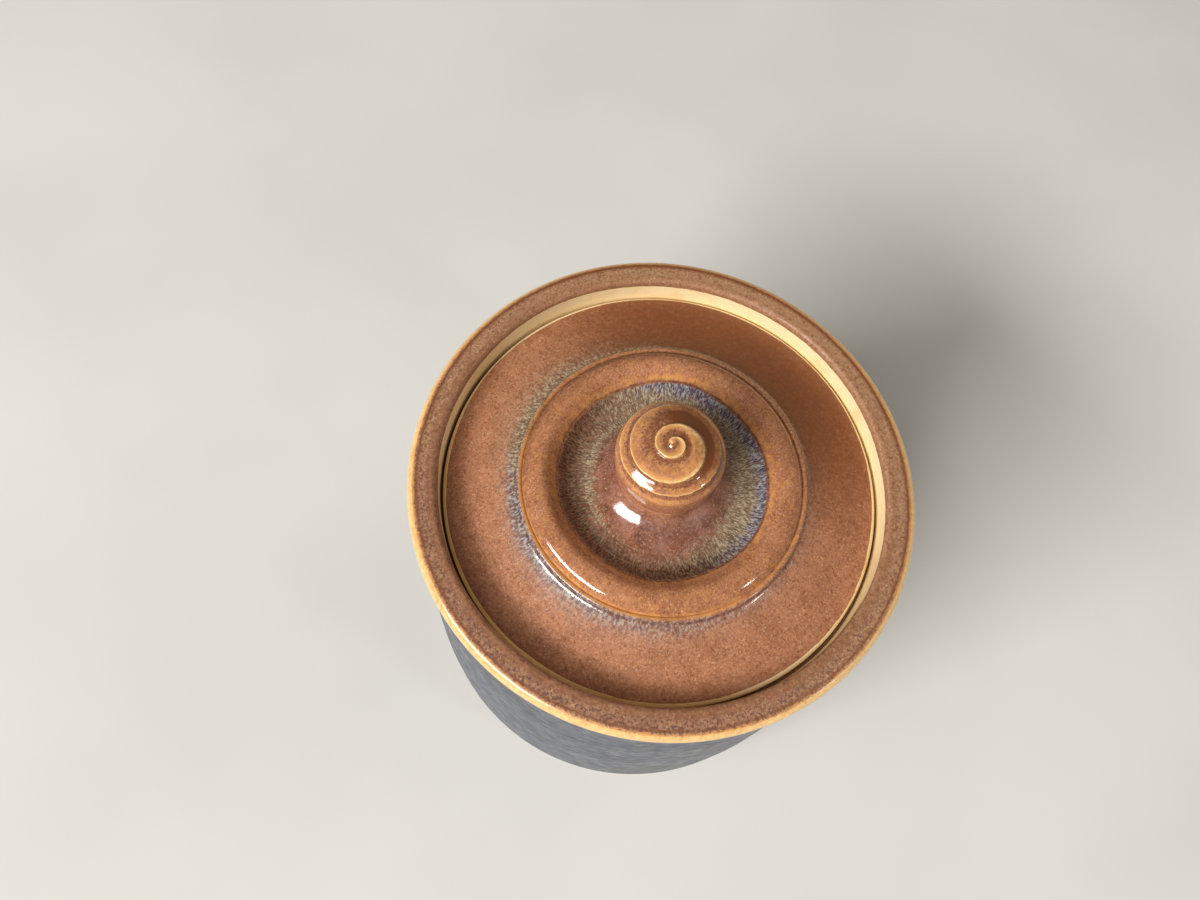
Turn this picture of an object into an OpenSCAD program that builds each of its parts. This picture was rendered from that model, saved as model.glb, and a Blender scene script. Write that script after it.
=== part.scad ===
// Wheel-thrown stoneware cookie jar with a lid that lifts off.
// Millimetres, +Z up. The origin is the centre of the foot, on the table.

/* [Jar] */
// Height from the table to the top of the rim
jar_height = 182; // [150:1:230]
// Outer diameter of the rim
rim_diameter = 180; // [150:1:210]
// How far the belly swells out past the rim
belly_swell = 4.8; // [0:0.2:15]
// Height of the widest part of the belly above the table
belly_height = 29; // [22:1:60]
// Thickness of the thrown wall
wall = 6.5; // [4.5:0.5:8]
// Thickness of the floor
floor_thickness = 8; // [5:0.5:12]

/* [Foot] */
// How far the foot ring stands in from the belly
foot_inset = 19; // [12:0.5:26]
// Width of the foot ring
foot_width = 9; // [6:0.5:14]
// Height of the foot ring and depth of the hollow inside it
foot_height = 4; // [2:0.5:6]

/* [Rim and gallery] */
// Width of the rim from the gallery to the lip
rim_width = 10.5; // [9:0.25:14]
// Radius of the rounded lip
lip_radius = 3.5; // [2:0.25:4]
// How far the lip stands out past the neck
lip_overhang = 4; // [2:0.25:6]
// Fall of the rim's top from the gallery to the lip
rim_fall = 0.2; // [0:0.1:3]
// Height of the flare from the neck to the lip
flare_height = 11; // [8:0.5:16]
// Depth of the gallery below the top of the rim
gallery_depth = 15; // [10:0.5:22]
// Width of the ledge that carries the lid
ledge_width = 9; // [6:0.5:14]
// Thickness of the ledge at its nose
ledge_thickness = 6; // [4:0.5:10]

/* [Lid] */
// Gap all round between the lid and the gallery
lid_clearance = 1; // [0.5:0.1:3]
// Thickness of the lid at its edge
lid_edge = 5.6; // [4:0.2:8]
// Rise of the lid's top from its edge to the foot of the raised ring
lid_rise = 3.6; // [1:0.1:6]
// Thickness of the lid under the moat
lid_floor = 6.5; // [4:0.5:8]
// Width of the hollow round the foot of the raised ring
hollow_width = 5.4; // [3:0.2:8]
// Height of the bead's middle above the foot of the raised ring
bead_height = 1.9; // [1.6:0.1:3.4]
// Radius of the bead
bead_radius = 1.1; // [0.6:0.1:1.4]
// Height of the raised ring above its foot
ring_height = 6.2; // [5.6:0.1:10]
// Distance from the bead to the top of the raised ring
ring_width = 7.4; // [5:0.1:12]
// Width of the bank from the top of the raised ring down to the moat
bank_width = 11.1; // [8:0.1:14]
// Depth of the moat below the top of the raised ring
moat_depth = 7.4; // [4:0.2:10]
// Width of the moat's flat floor round the knob
moat_width = 4.5; // [3:0.5:8]

/* [Knob] */
// Diameter of the knob's base on the lid
knob_base_diameter = 56; // [50:1:60]
// Height of the bell from the moat to the neck
bell_height = 10.5; // [8:0.5:14]
// Diameter of the ball
ball_diameter = 37.2; // [30:0.2:42]
// How far the neck is drawn in under the ball
neck_undercut = 2.9; // [1:0.1:5]
// Height of the ball from the neck to its widest part
ball_lower_height = 14; // [8:0.5:18]
// Height of the ball from its widest part to its tip
ball_upper_height = 13.4; // [8:0.2:18]
// Depth of the groove between the spiral's turns
spiral_depth = 0.9; // [0.3:0.1:1.4]

/* [Hidden] */
$fn = 96;

// Colours of the glazes
slate_glaze = "#5f6c7b";
amber_glaze = "#a9693f";
honey_glaze = "#b8763f";

// Small roundings left by the potter's sponge
edge_round = 1.2;
lid_round = 2;
rim_round = 2;
nose_round = 2;
foot_round = 1;
toe_height = 0.5;

// Points in each rounding, each short curve and each long curve
round_steps = 5;
curve_steps = 10;
long_steps = 18;

// Radii and heights of the jar
rim_r = rim_diameter / 2;
neck_r = rim_r - lip_overhang;
belly_r = rim_r + belly_swell;
foot_r = belly_r - foot_inset;
foot_inner_r = foot_r - foot_width;
gallery_r = rim_r - rim_width;
ledge_r = gallery_r - ledge_width;
ledge_z = jar_height - gallery_depth;
lip_top_z = jar_height - rim_fall;
neck_z = lip_top_z - flare_height;
floor_z = foot_height + floor_thickness;
lip_centre = [rim_r - lip_radius, lip_top_z - lip_radius];
// The lip's round runs from the rim's top to where the flare takes over
lip_from = 78;
lip_to = -50;
flare_reach = 4;
// The ledge's underside runs out to the wall on a slope
ledge_slope = 0.8;
ledge_under_z = ledge_z - ledge_thickness;
slope_end_z = ledge_under_z - ledge_slope * (body_radius(ledge_under_z) - wall - ledge_r);

// Radii of the lid, worked outwards from the knob's base
base_r = knob_base_diameter / 2;
moat_r = base_r + moat_width;
crest_r = moat_r + bank_width;
bead_r = crest_r + ring_width;
hollow_r = bead_r + bead_radius + hollow_width;
lid_r = gallery_r - lid_clearance;
seat_inner_r = ledge_r - lid_clearance;
recess_slope = 5;

// Heights of the lid, worked upwards from the ledge that it rests on
edge_z = ledge_z + lid_edge;
crown_z = edge_z + lid_rise;
bead_centre = [bead_r, crown_z + bead_height];
crest_z = crown_z + ring_height;
moat_z = crest_z - moat_depth;
under_z = moat_z - lid_floor;
// Slope of the lid's top at its edge and where it meets the hollow, and the hollow's climb to the bead
edge_slope = 2;
crown_slope = 19;
hollow_climb = 0.7;
// Angle at which the bead gives way to the raised ring, and the handle that starts the ring there
bead_to = 150;
ring_start = [-0.8, 2];

// Radii and heights of the knob
ball_r = ball_diameter / 2;
knob_neck_r = ball_r - neck_undercut;
knob_neck_z = moat_z + bell_height;
ball_z = knob_neck_z + ball_lower_height;
// The bell flares from a shoulder under the neck, past a waist halfway out, to a thin toe
shoulder_width = 1.5;
shoulder_drop = 4.7;
shoulder_slope = 44;
waist_share = 0.18;
waist_slope = 24;
toe_slope = 6;
shoulder = [knob_neck_r + shoulder_width, knob_neck_z - shoulder_drop];
waist = [(shoulder.x + base_r) / 2, moat_z + waist_share * bell_height];
// The cap is a hair wider than the ball below it, and the ball's core reaches up into the cap
cap_overlap = 0.1;
core_share = 0.6;
core_height = ball_upper_height / 4;
cap_sides = 72;
cap_rings = 48;
// The spiral's eye, a little off the axis
spiral_eye = [-0.4, -1.5];
// Turns that the finger had made, counted from +X, at each angle from the axis: close turns round
// the eye, one wide land, then even turns down to the widest part
spiral_path = [[0, -0.6], [11.5, 0], [16, 0.25], [22, 0.75], [33, 1], [45, 1.25], [49, 1.45], [90, 3.4]];
// Below 1, the groove is steeper on the side that the finger pressed against
spiral_lean = 0.75;
tip_fade = 8;
equator_fade = 14;

// Points along part of an ellipse, from one angle to another
function ellipse_arc(centre, radii, from, to, steps) = [
    for (i = [0 : steps])
        let (angle = from + (to - from) * i / steps)
        [centre.x + radii.x * cos(angle), centre.y + radii.y * sin(angle)]
];

// Points along part of a circle
function arc(centre, radius, from, to) = ellipse_arc(centre, [radius, radius], from, to, round_steps);

// Points along a cubic curve with two end points and two handles
function curve(start, handle_a, handle_b, end) = [
    for (i = [0 : curve_steps])
        let (t = i / curve_steps, u = 1 - t)
        u * u * u * start + 3 * u * u * t * handle_a + 3 * u * t * t * handle_b + t * t * t * end
];

// The direction of travel at an angle on a circle, taken anticlockwise
function heading(angle) = [-sin(angle), cos(angle)];

// The direction outwards and down a slope
function downhill(slope) = [cos(slope), -sin(slope)];

// Points along a curve from one point in and up to another, with the slope given at each
function climb(low, low_slope, high, high_slope) =
    let (third = (low.x - high.x) / 3)
    curve(low, low - third * downhill(low_slope), high + third * downhill(high_slope), high);

// Outer radius of the jar's body between the belly and the neck
function body_radius(z) = neck_r + (belly_r - neck_r) * cos(90 * (z - belly_height) / (neck_z - belly_height));

// Points up the body's wall, set in from its outside by some depth
function body_wall(from_z, to_z, depth) = [
    for (i = [0 : long_steps])
        let (z = from_z + (to_z - from_z) * i / long_steps)
        [body_radius(z) - depth, z]
];

// The jar's outside, from the hollow under its floor up to the top of the rim
function jar_outside() =
    let (
        lip_end = lip_centre + lip_radius * [cos(lip_to), sin(lip_to)],
        neck = [neck_r, neck_z]
    )
    concat(
        [[0, foot_height], [foot_inner_r, foot_height], [foot_inner_r, 0]],
        arc([foot_r - foot_round, foot_round], foot_round, -90, 0),
        ellipse_arc([foot_r, belly_height], [foot_inset, belly_height - foot_height], -90, 0, long_steps),
        body_wall(belly_height, neck_z, 0),
        curve(neck, neck + [0, flare_reach], lip_end - flare_reach * heading(lip_to), lip_end),
        arc(lip_centre, lip_radius, lip_to, lip_from),
        arc([gallery_r + rim_round, jar_height - rim_round], rim_round, 90, 180)
    );

// The jar's inside, from the gallery down to the middle of the floor
function jar_inside() =
    let (floor_r = foot_inner_r, belly_inner_r = belly_r - wall)
    concat(
        [[gallery_r, ledge_z]],
        arc([ledge_r + nose_round, ledge_z - nose_round], nose_round, 90, 180),
        [[ledge_r, ledge_under_z]],
        body_wall(slope_end_z, belly_height, wall),
        ellipse_arc([floor_r, belly_height], [belly_inner_r - floor_r, belly_height - floor_z], 0, -90, long_steps),
        [[0, floor_z]]
    );

// The lid's underside and edge, from the middle out to the top of the edge
function lid_underside() = concat(
    [[0, under_z], [seat_inner_r - recess_slope, under_z], [seat_inner_r, ledge_z]],
    arc([lid_r - edge_round, ledge_z + edge_round], edge_round, -90, 0),
    arc([lid_r - lid_round, edge_z - lid_round], lid_round, 0, 90)
);

// The lid's top, from its edge in over the raised ring to the middle of the moat
function lid_top() =
    let (
        edge = [lid_r - lid_round, edge_z],
        hollow = [hollow_r, crown_z],
        bead_start = bead_centre + [bead_radius, 0],
        bead_end = bead_centre + bead_radius * [cos(bead_to), sin(bead_to)],
        crest = [crest_r, crest_z],
        moat = [moat_r, moat_z]
    )
    concat(
        climb(edge, edge_slope, hollow, crown_slope),
        curve(
            hollow,
            hollow - hollow_width / 2 * downhill(crown_slope),
            bead_start - [0, hollow_climb * bead_height],
            bead_start
        ),
        arc(bead_centre, bead_radius, 0, bead_to),
        curve(bead_end, bead_end + ring_start, crest + [ring_width / 2, 0], crest),
        curve(crest, crest - [bank_width / 3, 0], moat + [bank_width / 3, 0], moat),
        [[0, moat_z]]
    );

// The knob's bell and the lower half of its ball
function knob_outline() =
    let (
        toe = [base_r, moat_z + toe_height],
        neck = [knob_neck_r, knob_neck_z],
        widest = [ball_r - cap_overlap, ball_z]
    )
    concat(
        [[0, moat_z], [base_r, moat_z]],
        climb(toe, toe_slope, waist, waist_slope),
        climb(waist, waist_slope, shoulder, shoulder_slope),
        curve(
            shoulder,
            shoulder - shoulder_width * downhill(shoulder_slope),
            neck - [0, shoulder_drop / 2],
            neck
        ),
        curve(neck, neck + [neck_undercut, neck_undercut] / 2, widest - [0, ball_lower_height / 2], widest),
        [[core_share * ball_r, ball_z + core_height], [0, ball_z + core_height]]
    );

// Depth of the finger groove on the cap, at an angle from the axis and a bearing round it
function groove(tilt, bearing) =
    let (
        from_eye = ball_r * sin(tilt) * [cos(bearing), sin(bearing)] - pow(cos(tilt), 2) * spiral_eye,
        lean = asin(min(1, norm(from_eye) / ball_r)),
        turn = lookup(lean, spiral_path) + atan2(from_eye.y, from_eye.x) / 360,
        past = turn - floor(turn),
        fade = min(1, lean / tip_fade) * min(1, (90 - tilt) / equator_fade)
    )
    spiral_depth * fade * sin(180 * pow(past, spiral_lean));

// One point of the cap, pressed in towards the middle of the ball by the groove
function cap_point(tilt, bearing) =
    let (press = 1 - groove(tilt, bearing) / ball_r, reach = ball_r * sin(tilt) * press)
    [reach * cos(bearing), reach * sin(bearing), ball_z + ball_upper_height * cos(tilt) * press];

// The ball's upper half, with the spiral that the potter's finger left
module spiral_cap() {
    tip = cap_rings * cap_sides;
    points = concat(
        [for (ring = [0 : cap_rings - 1], side = [0 : cap_sides - 1])
            cap_point(90 * (1 - ring / cap_rings), 360 * side / cap_sides)],
        [[0, 0, ball_z + ball_upper_height]]
    );
    base = [[for (side = [0 : cap_sides - 1]) side]];
    walls = [for (ring = [0 : cap_rings - 2], side = [0 : cap_sides - 1], half = [0, 1])
        let (
            next = (side + 1) % cap_sides,
            low = ring * cap_sides,
            high = low + cap_sides
        )
        half == 0 ? [low + side, high + side, high + next] : [low + side, high + next, low + next]
    ];
    top = [for (side = [0 : cap_sides - 1])
        [tip - cap_sides + side, tip, tip - cap_sides + (side + 1) % cap_sides]];
    polyhedron(points = points, faces = concat(base, walls, top));
}

module jar() {
    color(slate_glaze)
        rotate_extrude()
            polygon(concat(jar_outside(), jar_inside()));
}

module lid() {
    color(amber_glaze)
        rotate_extrude()
            polygon(concat(lid_underside(), lid_top()));
}

module knob() {
    color(honey_glaze) {
        rotate_extrude()
            polygon(knob_outline());
        spiral_cap();
    }
}

jar();
lid();
knob();
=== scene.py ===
"""Looks of a wheel-thrown stoneware cookie jar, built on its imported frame. Metres, +Z up."""

import math

import bpy
import numpy as np
from mathutils import Matrix, Vector


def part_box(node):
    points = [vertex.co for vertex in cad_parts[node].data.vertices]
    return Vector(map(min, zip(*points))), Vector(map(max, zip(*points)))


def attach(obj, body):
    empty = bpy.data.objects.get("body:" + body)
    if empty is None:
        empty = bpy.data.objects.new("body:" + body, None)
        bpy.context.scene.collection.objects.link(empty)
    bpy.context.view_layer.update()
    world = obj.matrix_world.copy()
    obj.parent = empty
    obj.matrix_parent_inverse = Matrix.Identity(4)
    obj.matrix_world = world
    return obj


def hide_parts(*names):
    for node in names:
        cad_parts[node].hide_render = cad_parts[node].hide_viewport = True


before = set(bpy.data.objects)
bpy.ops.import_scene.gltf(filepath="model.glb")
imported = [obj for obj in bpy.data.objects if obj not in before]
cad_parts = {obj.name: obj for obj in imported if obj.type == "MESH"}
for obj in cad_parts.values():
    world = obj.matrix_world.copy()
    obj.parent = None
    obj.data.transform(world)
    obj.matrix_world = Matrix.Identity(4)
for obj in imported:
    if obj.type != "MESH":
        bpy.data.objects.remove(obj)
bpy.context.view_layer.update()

# Sizes of the pieces, from the frame

MM = 0.001
jar_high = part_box("jar")[1]
lid_low, lid_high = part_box("lid")
knob_low, knob_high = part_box("knob")

JAR_HEIGHT = jar_high.z
BELLY_R = jar_high.x
LEDGE_Z = lid_low.z
LID_R = lid_high.x
CREST_Z = lid_high.z
MOAT_Z = knob_low.z
TIP_Z = knob_high.z

# Sizes of the jar that the boxes don't give

RIM_R = 90 * MM
BELLY_HEIGHT = 29 * MM
WALL = 6.5 * MM
FLOOR_THICKNESS = 8 * MM
FOOT_INSET = 19 * MM
FOOT_WIDTH = 9 * MM
FOOT_HEIGHT = 4 * MM
FOOT_ROUND = 1.5 * MM
RIM_WIDTH = 10.5 * MM
RIM_FALL = 0.2 * MM
RIM_ROUND = 2 * MM
LIP_RADIUS = 3.5 * MM
LIP_OVERHANG = 4 * MM
LIP_FROM = -50
LIP_TO = 78
FLARE_HEIGHT = 11 * MM
FLARE_REACH = 4 * MM
LEDGE_WIDTH = 9 * MM
LEDGE_THICKNESS = 6 * MM
LEDGE_SLOPE = 0.8
NOSE_ROUND = 2 * MM

# Sizes of the lid that the boxes don't give, with the handles of its curves

LID_EDGE = 5.6 * MM
LID_RISE = 3 * MM
LID_FLOOR = 6.5 * MM
LID_ROUND = 2 * MM
LID_CLEARANCE = 1 * MM
EDGE_ROUND = 1.2 * MM
RECESS_SLOPE = 5 * MM
RING_R = 43.6 * MM
RING_WIDTH = 7.4 * MM
MOAT_R = 32.5 * MM
BEAD_RADIUS = 1.1 * MM
BEAD_TO = 150
COVE_REACH = 5 * MM
COVE_RISE = 2.5 * MM
COVE_SLOPE = 62
CROWN_SLOPE = 19
CROWN_HANDLE_RISE = 0.1 * LID_RISE
COVE_FOOT_HANDLE = 0.4 * COVE_REACH
COVE_TOP_HANDLE = 0.5 * COVE_RISE
GROOVE_HANDLE = (-0.8 * MM, 2 * MM)
CREST_HANDLE = 0.5 * RING_WIDTH
BANK_HANDLE = 0.35 * (RING_R - MOAT_R)

# Sizes of the knob that the box doesn't give, with the handles of its curves

CONE_HEIGHT = 10.5 * MM
TOE_INSET = 1 * MM
TOE_BURIED = 0.25 * MM
TOE_HANDLE = 4.5 * MM
WAIST = (23 * MM, 1.8 * MM)
WAIST_SLOPE = 24
WAIST_HANDLE = 3.2 * MM
SHOULDER = (17.2 * MM, 5.8 * MM)
SHOULDER_SLOPE = 44
SHOULDER_HANDLE = 1.2 * MM
NECK_HANDLE = 2 * MM
NECK_UNDERCUT = 2.9 * MM
NECK_ROLL = 0.4 * MM
NECK_ROLL_WIDTH = 0.4 * MM
NECK_ROLL_DROP = 1.2 * MM
BALL_R = 18.6 * MM
BALL_LOWER = 14 * MM

# The spiral on the ball: its eye, its depth, the angles over which it starts and ends, and its crest's path

SPIRAL_EYE = (-0.4 * MM, -1.5 * MM)
SPIRAL_DEPTH = 0.9 * MM
SPIRAL_STARTS = (2, 8)
SPIRAL_ENDS = (72, 88)
# Each pair is an angle from the axis, in degrees, and the turns that the crest has made there, from +X
SPIRAL_PATH = (
    (0, -0.6),
    (4, -0.5),
    (7.5, -0.2),
    (11.5, 0),
    (16.2, 0.25),
    (19.1, 0.5),
    (21.8, 0.75),
    (26.2, 0.875),
    (33.3, 1),
    (45.2, 1.25),
    (48.8, 1.44),
    (60, 2.04),
    (66.8, 2.39),
    (90, 3.4),
)

# Radii and heights worked out from the sizes

NECK_R = RIM_R - LIP_OVERHANG
FOOT_R = BELLY_R - FOOT_INSET
FOOT_INNER_R = FOOT_R - FOOT_WIDTH
GALLERY_R = RIM_R - RIM_WIDTH
LEDGE_R = GALLERY_R - LEDGE_WIDTH
SEAT_R = LEDGE_R - LID_CLEARANCE
LIP_TOP_Z = JAR_HEIGHT - RIM_FALL
NECK_Z = LIP_TOP_Z - FLARE_HEIGHT
FLOOR_Z = FOOT_HEIGHT + FLOOR_THICKNESS
EDGE_Z = LEDGE_Z + LID_EDGE
COVE_Z = EDGE_Z + LID_RISE
BEAD_R = RING_R + RING_WIDTH
BEAD_OUTER_R = BEAD_R + BEAD_RADIUS
BEAD_Z = COVE_Z + COVE_RISE
UNDER_Z = MOAT_Z - LID_FLOOR
KNOB_NECK_R = BALL_R - NECK_UNDERCUT
KNOB_NECK_Z = MOAT_Z + CONE_HEIGHT
BALL_Z = KNOB_NECK_Z + BALL_LOWER
BALL_UPPER = TIP_Z - BALL_Z

# Marks of the wheel: rings on the pot, on the lid and under it, and a slightly oval mouth

RING_PITCH = 6.2 * MM
RING_DEPTH = 0.06 * MM
RING_WANDER = 0.6
DRIFT_PITCH = 31 * MM
DRIFT_DEPTH = 0.12 * MM
DRIFT_PHASE = 1.3
RINGS_FROM_Z = 12 * MM
RINGS_TO_Z = NECK_Z - 6 * MM
RINGS_FADE = 8 * MM
OVAL_DEPTH = 0.35 * MM
OVAL_PHASE = 2.6
THREE_SIDED_DEPTH = 0.08 * MM
THREE_SIDED_PHASE = 2.1
OVAL_FROM_R = 20 * MM
TOOL_PITCH = 2.6 * MM
TOOL_DEPTH = 0.02 * MM
RECESS_PITCH = 4.4 * MM
RECESS_DEPTH = 0.08 * MM
RECESS_RINGS_FROM_R = 6 * MM
RECESS_RINGS_TO_R = LEDGE_R - RECESS_SLOPE - 4 * MM
RECESS_RINGS_FADE = 2 * MM

# Sides where the glaze, the painted shade and the painted highlight change: bearings in degrees,
# anticlockwise from +X, with the camera towards -Y

NEAR = -90
LEFT = 180
RIGHT = 22.9
FAR = 107.2
FAR_LEFT = 126
FAR_RIGHT = 61.9
NEAR_LEFT = -137.5
RIM_NEAR = -101.5
RIM_LEFT = -128.4
LIP_NARROWEST = 111.7
BEAD_HIGHLIGHT_SIDE = -124.4
BALL_SHADED_SIDE = 34.4
BELL_SATIN = -40.1

# Edges of the glaze on the jar, and of the painted shade on the clay in its seat. Places across the rim run
# from 0 at the gallery to 1 at its outside.

GALLERY_RUN = 3.2 * MM
GALLERY_RUN_SWAY = 0.4 * MM
GALLERY_RUN_NEAR = 2 * MM
GALLERY_NEAR_FADE = (0.62, 0.66)
GALLERY_BARE_FROM_Z = LEDGE_Z - LEDGE_THICKNESS - 3 * MM
JAR_SEAT_SHADE_FADE = (0.5 * MM, 2 * MM)
FOOT_BARE = 6.5 * MM
FOOT_BARE_SWAY = 0.8 * MM
SLATE_FADE = (2 * MM, 4 * MM)
UNDER_LIP_FADE = (3 * MM, 5 * MM)
RIM_MARGIN = 0.5 * MM
LIP_STARTS = 0.7
LIP_SWAY = 0.025
LIP_FADE = 0.14

# Edges of the glaze on the lid and the knob, and of the painted shade and highlight on them

LID_BARE_EDGE = 1.3 * MM
LID_BARE_SWAY = 0.2 * MM
LID_SEAT_SHADE_FADE = (1 * MM, 3 * MM)
MOAT_EDGE_R = 37.8 * MM
MOAT_EDGE_SWAY = 0.4 * MM
MOAT_EDGE_FADE = 0.8 * MM
MAUVE_FADE = 2 * MM
POOL_FROM_R = 24.8 * MM
POOL_FROM_NEAR = 5 * MM
POOL_FADE = 5 * MM
BLUE_FADE = (-7 * MM, -0.5 * MM)
POOL_PAINTED_SHADE_FADE_R = (25 * MM, 34 * MM)
BANK = (0.6 * MM, 1.5 * MM)
BANK_FADE = 1.5 * MM
RING_FROM = 0.8 * MM
RING_SHORT = 2 * MM
RING_FADE = 1 * MM
RING_SHADE_FROM_R = RING_R + 2 * MM
RING_SHADE_FADE = 2 * MM
LINE_WIDTH = 0.5 * MM
COVE_LINE_R = BEAD_OUTER_R + 0.3 * MM
GROOVE_LINE_R = BEAD_R - 1.4 * MM
GROOVE_SHADE_R = BEAD_R - 2.6 * MM
GROOVE_SHADE_WIDTH = 1.2 * MM
BEAD_LINE_R = BEAD_R - 0.6 * MM
BEAD_LINE_WIDTH = 1.2 * MM
HALO_FROM_R = BEAD_R + 0.5 * MM
HALO_FULL = 2 * MM
HALO_WIDTH = 3.6 * MM
HALO_SWAY = 1 * MM
HALO_FAR_LEFT = 3 * MM
CROWN_SHADE_FADE = (0, 3 * MM)
CROWN_SATIN_FADE = (0, 4 * MM)
EDGE_SHADE_FADE_R = (70 * MM, 73 * MM)
BALL_SHADE_FADE_R = (2 * MM, 10 * MM)
BALL_GLAZE_ENDS = (70, 86)
INNER_TURN_ENDS = (20, 34)

# Meshes: points round each piece, and the spacing and the turn in degrees between points along its outline

SIDES = 256
PLAIN_SPACING = 1.6 * MM
HIDDEN_SPACING = 4 * MM
FINE_SPACING = 0.55 * MM
KNOB_SPACING = 0.33 * MM
TURN_STEP = 9
CORNER = 30
CURVE_STEPS = 40
SAME_POINT = 1e-9
ANGLES = np.linspace(0, 2 * math.pi, SIDES, endpoint=False)[None, :]

# Outlines


def point(radius, height):
    return np.array((radius, height), float)


def ellipse_arc(centre, radii, start, end):
    """Points along part of an ellipse, between two angles in degrees."""
    angles = np.radians(np.linspace(start, end, CURVE_STEPS))
    return np.stack([centre[0] + radii[0] * np.cos(angles), centre[1] + radii[1] * np.sin(angles)], 1)


def arc(centre, radius, start, end):
    return ellipse_arc(centre, (radius, radius), start, end)


def cubic(start, handle_a, handle_b, end):
    """Points along a cubic curve with two end points and two handles."""
    t = np.linspace(0, 1, CURVE_STEPS)[:, None]
    u = 1 - t
    return u**3 * start + 3 * u * u * t * handle_a + 3 * u * t * t * handle_b + t**3 * end


def heading(angle):
    """The direction of travel at an angle on a circle, taken anticlockwise."""
    turn = math.radians(angle)
    return point(-math.sin(turn), math.cos(turn))


def downhill(slope):
    """The direction outwards and down a slope, in degrees."""
    turn = math.radians(slope)
    return point(math.cos(turn), -math.sin(turn))


def on_circle(centre, radius, angle):
    turn = math.radians(angle)
    return centre + radius * point(math.cos(turn), math.sin(turn))


def body_radius(height):
    """Outer radius of the jar between its belly and its neck."""
    share = (height - BELLY_HEIGHT) / (NECK_Z - BELLY_HEIGHT)
    return NECK_R + (BELLY_R - NECK_R) * np.cos(share * math.pi / 2)


def body_wall(start, end, depth):
    heights = np.linspace(start, end, CURVE_STEPS)
    return np.stack([body_radius(heights) - depth, heights], 1)


def running_total(values):
    return np.concatenate([[0], np.cumsum(values)])


def resample(points, spacing):
    """An outline with points spaced as a function asks, closer on tight curves, and one on each corner.

    It gives their radii, their heights and the length of outline up to each, as columns.
    """
    fresh = np.hypot(*np.diff(points, axis=0).T) > SAME_POINT
    points = points[np.concatenate([[True], fresh])]
    spans = np.diff(points, axis=0)
    lengths = np.hypot(*spans.T)
    headings = np.unwrap(np.arctan2(spans[:, 1], spans[:, 0]))
    turns = np.concatenate([[0], np.degrees(np.abs(np.diff(headings))), [0]])
    middles = (points[:-1] + points[1:]) / 2
    crowding = (turns[:-1] + turns[1:]) / 2 / TURN_STEP
    along = running_total(lengths / spacing(*middles.T) + crowding)
    regular = np.linspace(0, along[-1], math.ceil(along[-1]) + 1)
    stations = np.unique(np.concatenate([regular, along[turns > CORNER]]))
    run = running_total(lengths)
    return [np.interp(stations, along, values)[:, None] for values in (points[:, 0], points[:, 1], run)]


def jar_spacing(radius, height):
    rim = (height > NECK_Z) & (radius > LEDGE_R)
    hidden = radius < body_radius(height) - WALL / 2
    return np.select([rim, hidden], [FINE_SPACING, HIDDEN_SPACING], PLAIN_SPACING)


def lid_spacing(radius, height):
    hidden = (height > MOAT_Z - LID_FLOOR / 2) & (radius < POOL_FROM_R)
    return np.where(hidden, HIDDEN_SPACING, FINE_SPACING)


def knob_spacing(radius, height):
    return np.where(height > MOAT_Z, KNOB_SPACING, HIDDEN_SPACING)


def jar_outline():
    """From the middle of the hollow under the foot, up the outside, and down the inside to the floor."""
    lip = point(RIM_R - LIP_RADIUS, LIP_TOP_Z - LIP_RADIUS)
    lip_end = on_circle(lip, LIP_RADIUS, LIP_FROM)
    neck = point(NECK_R, NECK_Z)
    under_z = LEDGE_Z - LEDGE_THICKNESS
    slope_z = under_z - LEDGE_SLOPE * (body_radius(under_z) - WALL - LEDGE_R)
    inner_r = BELLY_R - WALL - FOOT_INNER_R
    return np.concatenate(
        [
            [point(0, FOOT_HEIGHT), point(FOOT_INNER_R - FOOT_ROUND, FOOT_HEIGHT)],
            arc((FOOT_INNER_R + FOOT_ROUND, FOOT_ROUND), FOOT_ROUND, 180, 270),
            arc((FOOT_R - FOOT_ROUND, FOOT_ROUND), FOOT_ROUND, -90, 0),
            ellipse_arc((FOOT_R, BELLY_HEIGHT), (FOOT_INSET, BELLY_HEIGHT - FOOT_HEIGHT), -90, 0),
            body_wall(BELLY_HEIGHT, NECK_Z, 0),
            cubic(neck, neck + point(0, FLARE_REACH), lip_end - FLARE_REACH * heading(LIP_FROM), lip_end),
            arc(lip, LIP_RADIUS, LIP_FROM, LIP_TO),
            arc((GALLERY_R + RIM_ROUND, JAR_HEIGHT - RIM_ROUND), RIM_ROUND, 90, 180),
            [point(GALLERY_R, LEDGE_Z)],
            arc((LEDGE_R + NOSE_ROUND, LEDGE_Z - NOSE_ROUND), NOSE_ROUND, 90, 180),
            [point(LEDGE_R, under_z)],
            body_wall(slope_z, BELLY_HEIGHT, WALL),
            ellipse_arc((FOOT_INNER_R, BELLY_HEIGHT), (inner_r, BELLY_HEIGHT - FLOOR_Z), 0, -90),
            [point(0, FLOOR_Z)],
        ]
    )


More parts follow.
